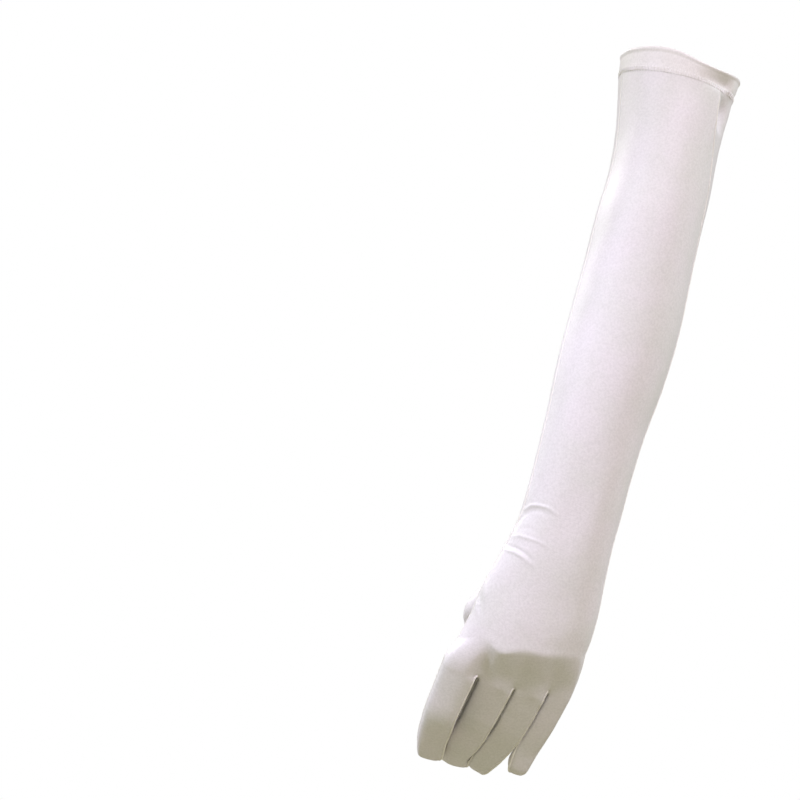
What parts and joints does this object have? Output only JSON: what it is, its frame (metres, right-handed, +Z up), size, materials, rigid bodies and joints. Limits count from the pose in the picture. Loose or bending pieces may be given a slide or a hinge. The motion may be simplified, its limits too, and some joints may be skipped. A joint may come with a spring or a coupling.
{
  "type": "glove",
  "caption": "Elbow-length satin glove for a left hand in its worn form, hollow from the hemmed arm opening to the fingertips, with bent fingers, gussets between them and a set-in thumb.",
  "frame": {"origin": "centre of the arm opening's rim", "axes": "+Z up through the arm opening, away from the hand; the back of the hand faces -Y and the thumb side is -X"},
  "size_m": [0.1927, 0.1166, 0.432],
  "materials": {
    "satin": "satin"
  },
  "bodies": {
    "root": {"back_panel": "satin", "palm_panel": "satin", "gusset_index_middle": "satin", "gusset_middle_ring": "satin", "gusset_ring_little": "satin", "thumb": "satin", "hem_band": "satin"}
  },
  "joints": []
}
